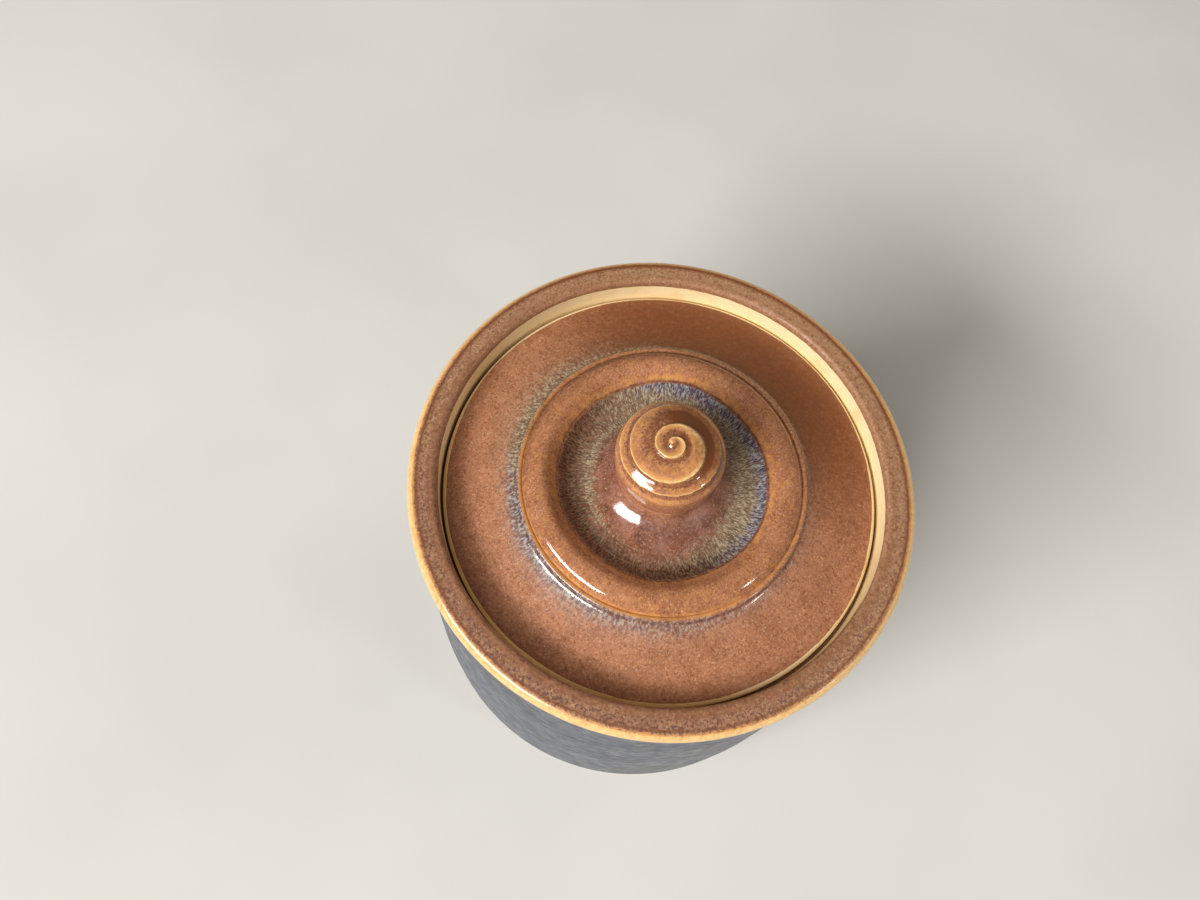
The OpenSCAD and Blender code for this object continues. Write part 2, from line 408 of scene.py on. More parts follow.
def lid_outline():
    """From the middle of the underside, out round the edge, and in over the raised ring to the moat."""
    edge = point(LID_R - LID_ROUND, EDGE_Z)
    bead = point(BEAD_R, BEAD_Z)
    cove_top = point(BEAD_OUTER_R, BEAD_Z)
    cove_foot = point(BEAD_OUTER_R + COVE_REACH, COVE_Z)
    groove = on_circle(bead, BEAD_RADIUS, BEAD_TO)
    crest = point(RING_R, CREST_Z)
    moat = point(MOAT_R, MOAT_Z)
    third = (edge[0] - cove_foot[0]) / 3
    crown_way = downhill(CROWN_SLOPE)
    cove_way = downhill(COVE_SLOPE)
    crown_handles = (edge + point(-third, CROWN_HANDLE_RISE), cove_foot + third * crown_way)
    cove_handles = (cove_foot - COVE_FOOT_HANDLE * crown_way, cove_top + COVE_TOP_HANDLE * cove_way)
    bank = point(BANK_HANDLE, 0)
    return np.concatenate(
        [
            [point(0, UNDER_Z), point(SEAT_R - RECESS_SLOPE, UNDER_Z), point(SEAT_R, LEDGE_Z)],
            arc((LID_R - EDGE_ROUND, LEDGE_Z + EDGE_ROUND), EDGE_ROUND, -90, 0),
            arc((edge[0], EDGE_Z - LID_ROUND), LID_ROUND, 0, 90),
            cubic(edge, *crown_handles, cove_foot),
            cubic(cove_foot, *cove_handles, cove_top),
            arc(bead, BEAD_RADIUS, 0, BEAD_TO),
            cubic(groove, groove + point(*GROOVE_HANDLE), crest + point(CREST_HANDLE, 0), crest),
            cubic(crest, crest - bank, moat + bank, moat),
            [point(0, MOAT_Z)],
        ]
    )


def knob_outline():
    """From the middle of the base, out to the toe, and up the bell and the ball to the tip."""
    toe = point(MOAT_R - TOE_INSET, MOAT_Z - TOE_BURIED)
    waist = point(WAIST[0], MOAT_Z + WAIST[1])
    shoulder = point(SHOULDER[0], MOAT_Z + SHOULDER[1])
    neck = point(KNOB_NECK_R, KNOB_NECK_Z)
    widest = point(BALL_R, BALL_Z)
    bulge = point(NECK_UNDERCUT, NECK_UNDERCUT) / 2
    third = (waist[0] - shoulder[0]) / 3
    waist_way = downhill(WAIST_SLOPE)
    shoulder_way = downhill(SHOULDER_SLOPE)
    return np.concatenate(
        [
            [point(0, MOAT_Z - TOE_BURIED)],
            cubic(toe, toe - point(TOE_HANDLE, 0), waist + WAIST_HANDLE * waist_way, waist),
            cubic(waist, waist - third * waist_way, shoulder + third * shoulder_way, shoulder),
            cubic(shoulder, shoulder - SHOULDER_HANDLE * shoulder_way, neck - point(0, NECK_HANDLE), neck),
            cubic(neck, neck + bulge, widest - point(0, BALL_LOWER / 2), widest),
            ellipse_arc((0, BALL_Z), (BALL_R, BALL_UPPER), 0, 90),
        ]
    )


# Meshes


def turned_mesh(name, radius, height, marks):
    """A closed mesh from rings of points, whose first and last rings are single points on the axis.

    A mark is a number at every point, which the materials read. One that a piece lacks reads as 0.
    """
    rings, sides = radius.shape
    inner = slice(1, rings - 1)
    strips = rings - 3
    x = (radius * np.cos(ANGLES))[inner]
    y = (radius * np.sin(ANGLES))[inner]
    body = np.stack([x, y, height[inner]], -1).reshape(-1, 3)
    ends = [(0, 0, height[0].mean()), (0, 0, height[-1].mean())]
    points = np.concatenate([body, ends])
    first, last = len(body), len(body) + 1
    low = np.arange(strips * sides).reshape(strips, sides)
    turned = np.roll(low, -1, axis=1)
    quads = np.stack([low, turned, turned + sides, low + sides], -1).reshape(-1, 4)
    start = np.arange(sides)
    end = start + strips * sides
    caps = [(first, b, a) for a, b in zip(start, np.roll(start, -1))]
    caps += [(last, a, b) for a, b in zip(end, np.roll(end, -1))]
    mesh = bpy.data.meshes.new(name)
    mesh.from_pydata(points.tolist(), [], quads.tolist() + caps)
    mesh.polygons.foreach_set("use_smooth", np.ones(len(mesh.polygons), bool))
    for mark, values in marks.items():
        grid = np.broadcast_to(values, radius.shape)
        flat = np.concatenate([grid[inner].reshape(-1), [grid[0].mean(), grid[-1].mean()]])
        attribute = mesh.attributes.new(mark, "FLOAT", "POINT")
        attribute.data.foreach_set("value", flat.astype(np.float32))
    mesh.update()
    piece = bpy.data.objects.new(name, mesh)
    bpy.context.scene.collection.objects.link(piece)
    return piece


# Shares of a surface, from 0 to 1, and changes round the pot


def ramp_up(value, low, high):
    """0 below low, 1 above high, and a smooth step between."""
    t = np.clip((value - low) / (high - low), 0, 1)
    return t * t * (3 - 2 * t)


def ramp_down(value, low, high):
    return 1 - ramp_up(value, low, high)


def band(value, low, high, soft):
    """1 between low and high, fading to 0 over a soft margin outside them."""
    return ramp_up(value, low - soft, low) * ramp_down(value, high, high + soft)


def below(value, level):
    """1 below a level and 0 above it, over a millimetre."""
    return ramp_down(value, level - MM / 2, level + MM / 2)


def bump_at(value, centre, width):
    return np.exp(-(((value - centre) / width) ** 2))


def towards(bearing):
    """1 on the side at a bearing in degrees, -1 on the opposite side, and smooth between."""
    return np.cos(ANGLES - math.radians(bearing))


def facing(bearing):
    """1 on the side at a bearing in degrees, 0 on the opposite side, and smooth between."""
    return 0.5 + 0.5 * towards(bearing)


def side(bearing, low, high):
    """One side of the pot: 0 where towards its bearing is below low, 1 where it is above high."""
    return ramp_up(towards(bearing), low, high)


def sway(turns, phase):
    """A slow, seamless change round the pot, from -1 to 1."""
    return 0.6 * np.sin(turns * ANGLES + phase) + 0.4 * np.sin((turns + 2) * ANGLES + 2.3 * phase)


def ring_phase(along, pitch):
    """The phase of rings that repeat at a pitch along a length."""
    return 2 * math.pi * along / pitch


# The jar


def jar_radii(radius, height, outside):
    """The pot's radii all round, with rings and a slow drift up its wall and a slightly oval mouth."""
    wall = outside * band(height, RINGS_FROM_Z, RINGS_TO_Z, RINGS_FADE)
    rings = np.sin(ring_phase(height, RING_PITCH) - ANGLES + RING_WANDER * np.sin(2 * ANGLES))
    drift = np.sin(ring_phase(height, DRIFT_PITCH) + DRIFT_PHASE)
    oval = OVAL_DEPTH * np.sin(2 * ANGLES + OVAL_PHASE)
    three_sided = THREE_SIDED_DEPTH * np.sin(3 * ANGLES + THREE_SIDED_PHASE)
    off_round = (radius > OVAL_FROM_R) * (oval + three_sided) * height / JAR_HEIGHT
    return radius + off_round + wall * (RING_DEPTH * rings + DRIFT_DEPTH * drift)


def jar_bare(height, outside):
    """Bare clay in the gallery, under the run of the rim's glaze, and round the foot."""
    gallery = ~outside & (height > GALLERY_BARE_FROM_Z)
    longer = ramp_up(facing(RIM_NEAR), *GALLERY_NEAR_FADE)
    glaze_sway = GALLERY_RUN_SWAY * sway(turns=5, phase=0.4)
    glaze_run = GALLERY_RUN + glaze_sway + GALLERY_RUN_NEAR * longer
    foot_bare = FOOT_BARE + FOOT_BARE_SWAY * sway(turns=4, phase=1.9)
    return np.maximum(gallery * below(height, JAR_HEIGHT - glaze_run), outside * below(height, foot_bare))


def rim_marks(radius, height, outside):
    """Tan, freckled glaze on the rim, which thins to honey over the lip, with brown lines along it."""
    across = (radius - GALLERY_R) / RIM_WIDTH
    on_rim = (height > LIP_TOP_Z - 2 * LIP_RADIUS) & (radius > GALLERY_R - RIM_MARGIN)
    under_lip = outside & (height < LIP_TOP_Z - LIP_RADIUS)
    rim_top = on_rim & ~under_lip
    near = facing(RIM_NEAR)
    far = 1 - near
    left = facing(RIM_LEFT)
    lip_from = LIP_STARTS + LIP_SWAY * np.cos(2 * (ANGLES - math.radians(LIP_NARROWEST)))
    over_lip = ramp_up(across, lip_from, lip_from + LIP_FADE)
    lip = np.where(under_lip, ramp_up(height - NECK_Z, *UNDER_LIP_FADE), over_lip)
    lip_line = bump_at(across, lip_from - 0.02, 0.04)
    near_band = near * (1 - 0.4 * left) * band(across, 0.14, 0.3, 0.12)
    far_edge = far * ramp_down(across, 0.1, 0.4)
    far_line = far * band(across, lip_from - 0.12, lip_from, 0.06)
    left_haze = left * (1 - lip) * ramp_up(across, 0.1, 0.2)
    brown = 0.6 * lip_line + 0.55 * near_band + 0.4 * far_edge + 0.5 * far_line + 0.1 * left_haze
    freckled = band(across, 0.4, lip_from, 0.2) * (0.2 + 0.45 * near + 0.35 * left)
    return {
        "tan": on_rim,
        "mauve": rim_top * (1 - lip) * (0.3 * left + 0.1 * near),
        "brown": rim_top * brown,
        "freckle": rim_top * freckled,
        "thin": on_rim * lip * (1 - 0.15 * left),
        "satin": rim_top * (1 - lip) + 0.5 * outside * ~rim_top,
        "slick": outside + on_rim * lip,
    }


def make_jar():
    """The pot: slate glaze outside, amber on the rim and inside, bare clay at the gallery and foot."""
    radius, height, run = resample(jar_outline(), jar_spacing)
    outside = np.arange(len(run))[:, None] < int(np.argmax(height))
    radius_grid = jar_radii(radius, height, outside)
    height_grid = np.broadcast_to(height, radius_grid.shape)
    marks = rim_marks(radius, height, outside)
    marks["run"] = run
    marks["bare"] = jar_bare(height, outside)
    marks["slate"] = outside * ramp_down(height - NECK_Z, *SLATE_FADE)
    # Painted shade on the jar's bare clay at the foot of the gallery, where the gap round the lid lies
    # dark.
    marks["seat_shade"] = ~outside * ramp_down(height - LEDGE_Z, *JAR_SEAT_SHADE_FADE)
    return turned_mesh("jar_pot", radius_grid, height_grid, marks)


# The lid


def lid_heights(radius, height, top):
    """The lid's heights all round, with the tool's rings outside its cove and finger rings under it."""
    crown = top & (radius > BEAD_R + COVE_REACH)
    tool = np.sin(ring_phase(radius, TOOL_PITCH) + ANGLES)
    recess = ~top * band(radius, RECESS_RINGS_FROM_R, RECESS_RINGS_TO_R, RECESS_RINGS_FADE)
    fingers = np.sin(ring_phase(radius, RECESS_PITCH) - ANGLES)
    return height + TOOL_DEPTH * crown * tool + RECESS_DEPTH * recess * fingers


def pool_share(radius):
    """The pool's share from the bell out to the moat. It starts further out on the near side."""
    start = POOL_FROM_R + POOL_FROM_NEAR * np.clip(towards(NEAR), 0, 1) ** 2
    return ramp_up(radius, start - POOL_FADE, start + POOL_FADE)


def near_left_share():
    return side(NEAR_LEFT, low=-0.4, high=0.5)


def pool_painted_shade_share(radius):
    """Painted shade on the near-left side of the pool, where the raised ring shadows the moat."""
    return near_left_share() * ramp_up(radius, *POOL_PAINTED_SHADE_FADE_R)


def moat_marks(radius, edge, right):
    """The speckled pool in the moat, bluer to the right, over the mauve that comes down the bell."""
    pool = pool_share(radius) * ramp_down(radius, edge - MOAT_EDGE_FADE, edge)
    moat_blue = right * ramp_up(radius - edge, *BLUE_FADE)
    halo_blue = 0.7 * side(NEAR, low=-0.4, high=0.4)
    return {
        "pool": pool * (0.62 + 0.38 * right),
        "blue": np.where(radius < BEAD_R, moat_blue, halo_blue),
        # Painted shade: the moat's near-left side is darkened where the ring shadows it.
        "pool_painted_shade": pool * pool_painted_shade_share(radius),
        "mauve": ramp_down(radius, edge - MAUVE_FADE, edge),
    }


def ring_marks(radius, edge, right):
    """Thin glaze on the raised ring and its bead, with a painted highlight on the bead's side towards the
    key light, and deep glaze in the lines beside them, with painted shade in the groove on the far side.
    """
    far = facing(FAR)
    cove_line = bump_at(radius, COVE_LINE_R, LINE_WIDTH)
    groove_line_and_shade = bump_at(radius, GROOVE_LINE_R, LINE_WIDTH)
    # Painted shade: the groove is darker on the far side, away from the key light.
    groove_line_and_shade = groove_line_and_shade + far * bump_at(radius, GROOVE_SHADE_R, GROOVE_SHADE_WIDTH)
    moat_line = bump_at(radius, edge, LINE_WIDTH)
    # Thin glaze along the bead, paler on the side towards the key light and set where the highlight falls:
    # partly a painted highlight.
    bead = (0.6 + 0.4 * towards(BEAD_HIGHLIGHT_SIDE)) * bump_at(radius, BEAD_LINE_R, BEAD_LINE_WIDTH)
    bank = band(radius, edge + BANK[0], edge + BANK[1], BANK_FADE)
    ring = band(radius, edge + RING_FROM, BEAD_R - RING_SHORT, RING_FADE)
    return {
        "deep_glaze_and_shade": 0.6 * cove_line + (0.25 + 0.45 * far) * groove_line_and_shade + (0.6 + 0.2 * right) * moat_line,
        "thin": np.maximum(0.65 * bead, 0.14 * ring + 0.2 * bank),
    }


def crown_marks(radius):
    """The halo round the raised ring, and painted shade on the crown outside it and on the ring's far
    slope.
    """
    outward = radius - BEAD_OUTER_R
    # Painted shade on the crown: dark on the far right, away from the key light and in the ring's and
    # knob's shadow, and in the rim's shadow on the near left.
    far_right_shade = side(FAR_RIGHT, low=-0.1, high=0.95) * ramp_up(outward, *CROWN_SHADE_FADE)
    edge_shade = near_left_share() * ramp_up(radius, *EDGE_SHADE_FADE_R)
    crown_shade = np.maximum(0.85 * far_right_shade, 0.25 * edge_shade)
    # Painted shade on the far side of the ring's outer slope, which faces away from the key light.
    ring_shade = 0.35 * facing(FAR) ** 2 * band(radius, RING_SHADE_FROM_R, BEAD_R, RING_SHADE_FADE)
    far_left = side(FAR_LEFT, low=0.2, high=1)
    halo_width = HALO_WIDTH + HALO_SWAY * sway(turns=3, phase=0.7) + HALO_FAR_LEFT * far_left
    halo = (0.3 + 0.55 * facing(LEFT)) * np.exp(-np.clip(outward - HALO_FULL, 0, None) / halo_width)
    return {
        "halo": (radius > HALO_FROM_R) * halo,
        # The brown mark here is painted shade.
        "brown": np.where(radius > BEAD_R, crown_shade, ring_shade),
        "satin": ramp_up(outward, *CROWN_SATIN_FADE),
        "slick": 0.5 * (outward < 0),
    }


def make_lid():
    """The lid's disc, with its raised ring and moat."""
    radius, height, run = resample(lid_outline(), lid_spacing)
    top = np.arange(len(run))[:, None] > int(np.argmax(radius))
    height_grid = lid_heights(radius, height, top)
    radius_grid = np.broadcast_to(radius, height_grid.shape)
    edge = MOAT_EDGE_R + MOAT_EDGE_SWAY * sway(turns=4, phase=2.2)
    right = side(RIGHT, low=-0.5, high=0.6)
    glaze = moat_marks(radius, edge, right) | ring_marks(radius, edge, right) | crown_marks(radius)
    marks = {name: top * share for name, share in glaze.items()}
    marks["run"] = run
    bare_edge = LID_BARE_EDGE + LID_BARE_SWAY * sway(turns=6, phase=1.1)
    marks["bare"] = ~top | (radius > LID_R - bare_edge)
    # Painted shade on the lid's bare clay low in the gallery's gap, the underside too.
    marks["seat_shade"] = ramp_down(height - LEDGE_Z, *LID_SEAT_SHADE_FADE)
    return turned_mesh("lid_disc", radius_grid, height_grid, marks)


# The knob


def ball_tilt(radius):
    """The angle from the axis, in degrees, of a point at a radius on the upper half of the ball."""
    return np.degrees(np.arcsin(np.clip(radius / BALL_R, 0, 1)))


def spiral_place(radius, upper):
    """Each point's angle from the spiral's eye, in degrees, and its share of a turn past the crest."""
    shift = 1 - (radius / BALL_R) ** 2
    east = radius * np.cos(ANGLES) - shift * SPIRAL_EYE[0]
    north = radius * np.sin(ANGLES) - shift * SPIRAL_EYE[1]
    lean = np.where(upper, ball_tilt(np.hypot(east, north)), 90)
    turns = np.interp(lean, *zip(*SPIRAL_PATH)) + np.arctan2(north, east) / (2 * math.pi)
    return lean, turns - np.floor(turns)


def ball_marks(radius, rise, tilt, lean, past):
    """Honey along the spiral's crest, brown and freckled in its groove, and painted shade on the side away
    from the key light.
    """
    on_ball = ramp_down(tilt, *BALL_GLAZE_ENDS)
    inner = ramp_down(lean, *INNER_TURN_ENDS)
    before_crest = bump_at(past, 1, 0.12 + 0.1 * inner)
    after_crest = (0.5 + 0.5 * inner) * bump_at(past, 0, 0.12)
    crest = np.maximum(before_crest, after_crest)
    slope = ramp_up(rise, 0.8, 1.2) * band(past, 0.55, 1, 0.2)
    # Painted shade: the ball's side away from the key light is darkened.
    away_shade = (rise > 0.9) * side(BALL_SHADED_SIDE, low=-0.2, high=0.8) * ramp_up(radius, *BALL_SHADE_FADE_R)
    return {
        "brown": 0.5 * on_ball * band(past, 0.12, 0.42, 0.14) + 0.6 * away_shade,
        "freckle": 0.9 * on_ball * band(past, 0.1, 0.5, 0.2),
        "thin": np.clip(0.7 * on_ball * crest + 0.28 * slope, 0, 1),
    }


def bell_marks(radius, rise):
    """The mauve veil on the bell, and the moat's pool round its toe."""
    bell = rise < 1
    pool = bell * pool_share(radius)
    return {
        "mauve": ramp_down(rise, 0.4, 1),
        "pool": pool,
        # Painted shade on the pool round the bell's toe, on the near left.
        "pool_painted_shade": pool * pool_painted_shade_share(radius),
        "satin": bell * side(BELL_SATIN, low=0.2, high=0.8),
        "slick": 1 - pool,
    }


def make_knob():
    """The knob, with the spiral that the potter's finger left on its ball."""
    radius, height, run = resample(knob_outline(), knob_spacing)
    upper = height > BALL_Z
    tilt = np.where(upper, ball_tilt(radius), 90)
    lean, past = spiral_place(radius, upper)
    fade = ramp_up(lean, *SPIRAL_STARTS) * ramp_down(tilt, *SPIRAL_ENDS)
    press = SPIRAL_DEPTH * fade * np.sin(math.pi * np.sqrt(past))
    neck_roll = NECK_ROLL * bump_at(height, KNOB_NECK_Z - NECK_ROLL_DROP, NECK_ROLL_WIDTH)
    radius_grid = radius + neck_roll - press * np.sin(np.radians(tilt))
    height_grid = height - press * np.cos(np.radians(tilt))
    rise = (height - MOAT_Z) / CONE_HEIGHT
    marks = ball_marks(radius, rise, tilt, lean, past) | bell_marks(radius, rise)
    marks["run"] = run
    return turned_mesh("knob_ball", radius_grid, height_grid, marks)


# Colours and gloss of the materials


def srgb(red, green, blue):
    """A colour as it shows on screen, from 0 to 255, made linear."""
    values = [channel / 255 for channel in (red, green, blue)]
    return (*[v / 12.92 if v <= 0.04045 else ((v + 0.055) / 1.055) ** 2.4 for v in values], 1)


RUST = srgb(178, 120, 86)
RUST_DARK = srgb(120, 68, 36)
RUST_LIGHT = srgb(212, 160, 126)
TAN = srgb(166, 125, 93)
ORANGE = srgb(208, 147, 88)
HONEY = srgb(236, 198, 136)
MAUVE = srgb(120, 73, 54)
MAUVE_DARK = srgb(86, 51, 40)
MAUVE_PALE = srgb(180, 130, 114)
POOL_PALE = srgb(190, 176, 148)
POOL_ICE = srgb(172, 176, 178)
POOL_GREY = srgb(138, 116, 90)
POOL_BLUE = srgb(92, 84, 104)
POOL_DARK = srgb(80, 60, 56)
# Pool colours for the painted shade on the moat's near-left side.
POOL_PAINTED_SHADE = srgb(62, 40, 27)
POOL_PAINTED_SHADE_PALE = srgb(138, 119, 87)
FRECKLE = srgb(106, 73, 64)
# Colour of deep glaze in the lines, also used for the painted shade in the far groove.
DEEP_GLAZE_AND_SHADE = srgb(88, 55, 46)
# Darker clay colour for the painted shade in the gallery's gap.
SEAT_SHADE = srgb(150, 108, 66)
CLAY = srgb(242, 220, 174)
CLAY_WARM = srgb(226, 178, 112)
SLATE = srgb(62, 70, 86)
SLATE_PALE = srgb(104, 110, 124)
SLATE_DARK = srgb(50, 56, 68)
PAPER = srgb(212, 212, 209)
PAPER_PALE = srgb(218, 218, 215)
PAPER_ROUGHNESS = 0.8
GLAZE_IOR = 1.6
POT_IOR = 1.52
SKIN_RELIEF = 0.1 * MM
GRAIN_RELIEF = 0.06 * MM

# Materials. The scale of a noise is in repeats to the metre, unless it runs along a flow.


class Nodes:
    """Short ways to add shader nodes to one material."""

    def __init__(self, name):
        self.material = bpy.data.materials.new(name)
        self.material.use_nodes = True
        self.tree = self.material.node_tree
        self.shader = self.tree.nodes["Principled BSDF"]

    def add(self, kind, inputs=(), **settings):
        node = self.tree.nodes.new(kind)
        for name, value in settings.items():
            setattr(node, name, value)
        for name, value in dict(inputs).items():
            self.put(value, node.inputs[name])
        return node

    def put(self, value, socket):
        if isinstance(value, bpy.types.NodeSocket):
            self.tree.links.new(value, socket)
        else:
            socket.default_value = value

    def mark(self, name):
        return self.add("ShaderNodeAttribute", attribute_name=name).outputs["Fac"]

    def place(self):
        return self.add("ShaderNodeTexCoord").outputs["Object"]

    def noise(self, vector, scale, detail=2.0, roughness=0.5):
        inputs = {"Vector": vector, "Scale": scale, "Detail": detail, "Roughness": roughness}
        return self.add("ShaderNodeTexNoise", inputs).outputs["Fac"]

    def maths(self, operation, first, second):
        return self.add("ShaderNodeMath", {0: first, 1: second}, operation=operation).outputs[0]

    def vector(self, operation, first, second):
        return self.add("ShaderNodeVectorMath", {0: first, 1: second}, operation=operation).outputs[0]

    def step(self, value, low, high, start=0.0, end=1.0):
        """A smooth step from start to end, between two values of a factor."""
        inputs = {"Value": value, "From Min": low, "From Max": high, "To Min": start, "To Max": end}
        return self.add("ShaderNodeMapRange", inputs, interpolation_type="SMOOTHSTEP").outputs["Result"]

    def mix(self, factor, first, second):
        node = self.add("ShaderNodeMix", data_type="RGBA")
        colours = [socket for socket in node.inputs if socket.type == "RGBA"]
        self.put(factor, node.inputs["Factor"])
        self.put(first, colours[0])
        self.put(second, colours[1])
        return [socket for socket in node.outputs if socket.type == "RGBA"][0]

    def bump(self, height, distance, strength, normal=None):
        inputs = {"Height": height, "Distance": distance, "Strength": strength}
        if normal is not None:
            inputs["Normal"] = normal
        return self.add("ShaderNodeBump", inputs).outputs["Normal"]

    def finish(self, sockets):
        for name, value in sockets.items():
            self.put(value, self.shader.inputs[name])
        return self.material


def flow(nodes, across, along):
    """A place that runs round the pot and along its outline, so that noise can streak down the glaze."""
    flat = nodes.vector("MULTIPLY", nodes.place(), (1, 1, 0))
    round_pot = nodes.add("ShaderNodeVectorMath", {0: flat}, operation="NORMALIZE").outputs[0]
    round_pot = nodes.vector("MULTIPLY", round_pot, (across, across, 0))
    run = nodes.maths("MULTIPLY", nodes.mark("run"), along)
    down = nodes.add("ShaderNodeCombineXYZ", {"Z": run}).outputs[0]
    return nodes.vector("ADD", round_pot, down)


def ragged(nodes, mark, scale, reach, low, high):
    """A mark's share, with its boundary broken up by noise."""
    noise = nodes.noise(nodes.place(), scale, detail=3.0, roughness=0.6)
    wander = nodes.step(noise, 0.2, 0.8, start=-reach, end=reach)
    return nodes.step(nodes.maths("ADD", nodes.mark(mark), wander), low, high)


def rust_colour(nodes, place, cloud, light):
    """Rust glaze in clouds and broad patches, tan on the rim, with paler grains."""
    patches = nodes.noise(place, scale=75, detail=3.0, roughness=0.6)
    colour = nodes.mix(nodes.step(cloud, 0.35, 0.7, end=0.3), RUST, RUST_DARK)
    colour = nodes.mix(nodes.step(patches, 0.45, 0.7, end=0.35), colour, RUST_DARK)
    colour = nodes.mix(nodes.mark("tan"), colour, TAN)
    return nodes.mix(light, colour, RUST_LIGHT)


def mauve_colour(nodes, place, cloud, light):
    """Mauve glaze under a paler veil."""
    veil = nodes.noise(place, scale=120, detail=4.0, roughness=0.65)
    colour = nodes.mix(nodes.step(cloud, 0.35, 0.65, end=0.8), MAUVE, MAUVE_DARK)
    colour = nodes.mix(light, colour, MAUVE_PALE)
    return nodes.mix(nodes.step(veil, 0.42, 0.72, end=0.5), colour, MAUVE_PALE)


def pool_colour(nodes, cloud, specks):
    """Pooled glaze with pale hairs and dark specks, grey or blue, and darkened with painted shade on the
    near left.
    """
    hairs = nodes.noise(flow(nodes, across=64, along=560), scale=1.0, detail=1.0, roughness=0.6)
    blue = ragged(nodes, "blue", scale=300, reach=0.3, low=0.1, high=1.0)
    pool_painted_shade = ragged(nodes, "pool_painted_shade", scale=300, reach=0.2, low=0.0, high=1.0)
    # The pool is darkened on its near-left side: painted shade.
    ground = nodes.mix(pool_painted_shade, nodes.mix(blue, POOL_GREY, POOL_BLUE), POOL_PAINTED_SHADE)
    pale = nodes.mix(pool_painted_shade, nodes.mix(blue, POOL_PALE, POOL_ICE), POOL_PAINTED_SHADE_PALE)
    colour = nodes.mix(nodes.step(cloud, 0.4, 0.7, end=0.5), ground, POOL_DARK)
    colour = nodes.mix(nodes.step(hairs, 0.42, 0.62, end=0.8), colour, pale)
    return nodes.mix(nodes.step(specks, 0.5, 0.64, end=0.7), colour, POOL_DARK)


def thinned_colour(nodes, colour, place, specks):
    """A glaze that thins to orange and then honey, with dark specks where it is thick, and pale sparks."""
    glazed = nodes.step(nodes.mark("thin"), 0.2, 0.6, start=1.0, end=0.2)
    dark = nodes.maths("MULTIPLY", nodes.step(specks, 0.52, 0.68, end=0.6), glazed)
    sparks = nodes.noise(place, scale=1900, detail=1.0)
    colour = nodes.mix(ragged(nodes, "thin", scale=300, reach=0.28, low=0.1, high=0.6), colour, ORANGE)
    colour = nodes.mix(ragged(nodes, "thin", scale=500, reach=0.12, low=0.6, high=1.0), colour, HONEY)
    colour = nodes.mix(dark, colour, RUST_DARK)
    return nodes.mix(nodes.step(sparks, 0.68, 0.78, end=0.7), colour, HONEY)


def amber_colour(nodes):
    """Rust glaze that thins to honey on edges and pools to a speckled blue grey."""
    place = nodes.place()
    cloud = nodes.noise(place, scale=260, detail=3.0, roughness=0.6)
    grain = nodes.noise(place, scale=1300, detail=2.0, roughness=0.6)
    strokes = nodes.noise(place, scale=1000, detail=2.0, roughness=0.6)
    specks = nodes.noise(flow(nodes, across=60, along=900), scale=1.0, detail=2.0, roughness=0.6)
    light = nodes.step(grain, 0.5, 0.7, end=0.6)
    freckles = nodes.maths("MULTIPLY", nodes.step(strokes, 0.49, 0.61), nodes.mark("freckle"))
    rust = rust_colour(nodes, place, cloud, light)
    mauve = mauve_colour(nodes, place, cloud, light)
    pool = pool_colour(nodes, cloud, specks)
    colour = nodes.mix(ragged(nodes, "mauve", scale=300, reach=0.3, low=0.0, high=1.0), rust, mauve)
    colour = thinned_colour(nodes, colour, place, specks)
    colour = nodes.mix(freckles, colour, FRECKLE)
    colour = nodes.mix(ragged(nodes, "pool", scale=800, reach=0.45, low=0.1, high=0.9), colour, pool)
    colour = nodes.mix(ragged(nodes, "halo", scale=900, reach=0.22, low=0.0, high=1.0), colour, pool)
    # The brown mark is brown glaze on the rim and in the ball's groove, and painted shade on the crown, the
    # ring's far slope and the ball's far side.
    colour = nodes.mix(ragged(nodes, "brown", scale=800, reach=0.2, low=0.0, high=1.0), colour, RUST_DARK)
    # Deep glaze in the lines, with painted shade in the far groove.
    return nodes.mix(ragged(nodes, "deep_glaze_and_shade", scale=700, reach=0.3, low=0.1, high=1.1), colour, DEEP_GLAZE_AND_SHADE)


def slate_colour(nodes):
    """Slate glaze, streaked by the wheel, with paler and darker flecks."""
    place = nodes.place()
    broad = nodes.noise(place, scale=45, detail=4.0, roughness=0.6)
    streaks = nodes.noise(nodes.vector("MULTIPLY", place, (1, 1, 6)), scale=60, detail=4.0, roughness=0.6)
    flecks = nodes.noise(place, scale=650, detail=2.0, roughness=0.6)
    colour = nodes.mix(nodes.step(broad, 0.35, 0.65), SLATE_DARK, SLATE)
    colour = nodes.mix(nodes.step(streaks, 0.4, 0.75, end=0.16), colour, SLATE_PALE)
    colour = nodes.mix(nodes.step(flecks, 0.6, 0.72, end=0.6), colour, SLATE_PALE)
    return nodes.mix(nodes.step(flecks, 0.38, 0.28, end=0.5), colour, SLATE_DARK)


def clay_colour(nodes):
    """Bare clay, warmer in patches and grains, and darkened with painted shade in the gallery's gap where
    the lid sits.
    """
    place = nodes.place()
    patches = nodes.noise(place, scale=120, detail=3.0)
    grains = nodes.noise(place, scale=1400, detail=2.0)
    colour = nodes.mix(nodes.step(patches, 0.45, 0.8, end=0.4), CLAY, CLAY_WARM)
    colour = nodes.mix(nodes.step(grains, 0.6, 0.75, end=0.4), colour, CLAY_WARM)
    # Painted shade: the clay darkens low in the gallery, in the gap round the lid.
    return nodes.mix(nodes.mark("seat_shade"), colour, SEAT_SHADE)


def bare_share(nodes):
    return ragged(nodes, "bare", scale=400, reach=0.25, low=0.4, high=0.6)


